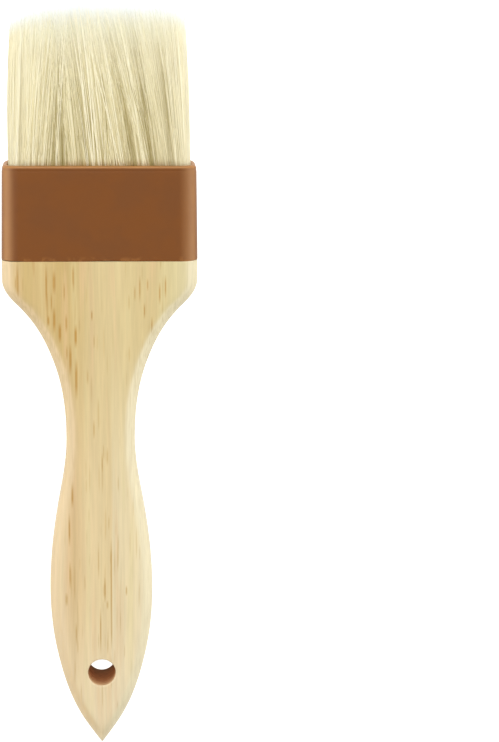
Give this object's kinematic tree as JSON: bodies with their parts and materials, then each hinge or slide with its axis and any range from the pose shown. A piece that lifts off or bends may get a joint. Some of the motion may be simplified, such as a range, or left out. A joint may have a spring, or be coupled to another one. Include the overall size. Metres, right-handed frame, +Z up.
{
  "type": "pastry brush",
  "caption": "Flat pastry brush: a pale wooden paddle handle with a hang hole, a brown plastic ferrule and a wide tuft of natural boar bristles that bends over the ferrule's mouth.",
  "frame": {"origin": "on the surface the brush lies on, under the middle of its outline", "axes": "+X across the width, +Y along the length towards the bristles' tips, +Z up through the thickness"},
  "size_m": [0.055, 0.217, 0.014],
  "materials": {
    "handle_wood": "smooth sanded, thin clear lacquer",
    "ferrule_plastic": "satin moulded",
    "wood_glue": "cured glue",
    "epoxy_resin": "cast resin",
    "filler_wood": "raw sawn",
    "boar_hair": "natural bristle"
  },
  "bodies": {
    "brush_body": {"handle": "handle_wood", "ferrule": "ferrule_plastic", "tenon_glue": "wood_glue", "epoxy_set": "epoxy_resin", "filler_strip": "filler_wood", "bristle_roots_front": "boar_hair", "bristle_roots_back": "boar_hair"},
    "bristles": {"bristle_tuft_front": "boar_hair", "bristle_tuft_back": "boar_hair"}
  },
  "joints": [
    {"name": "bristle_flex", "type": "hinge", "parent": "brush_body", "child": "bristles", "pos_m": [0, 0.0641, 0.007], "axis": [1, 0, 0], "range_deg": [-30, 30], "stiffness_Nm_per_rad": 0.3}
  ]
}
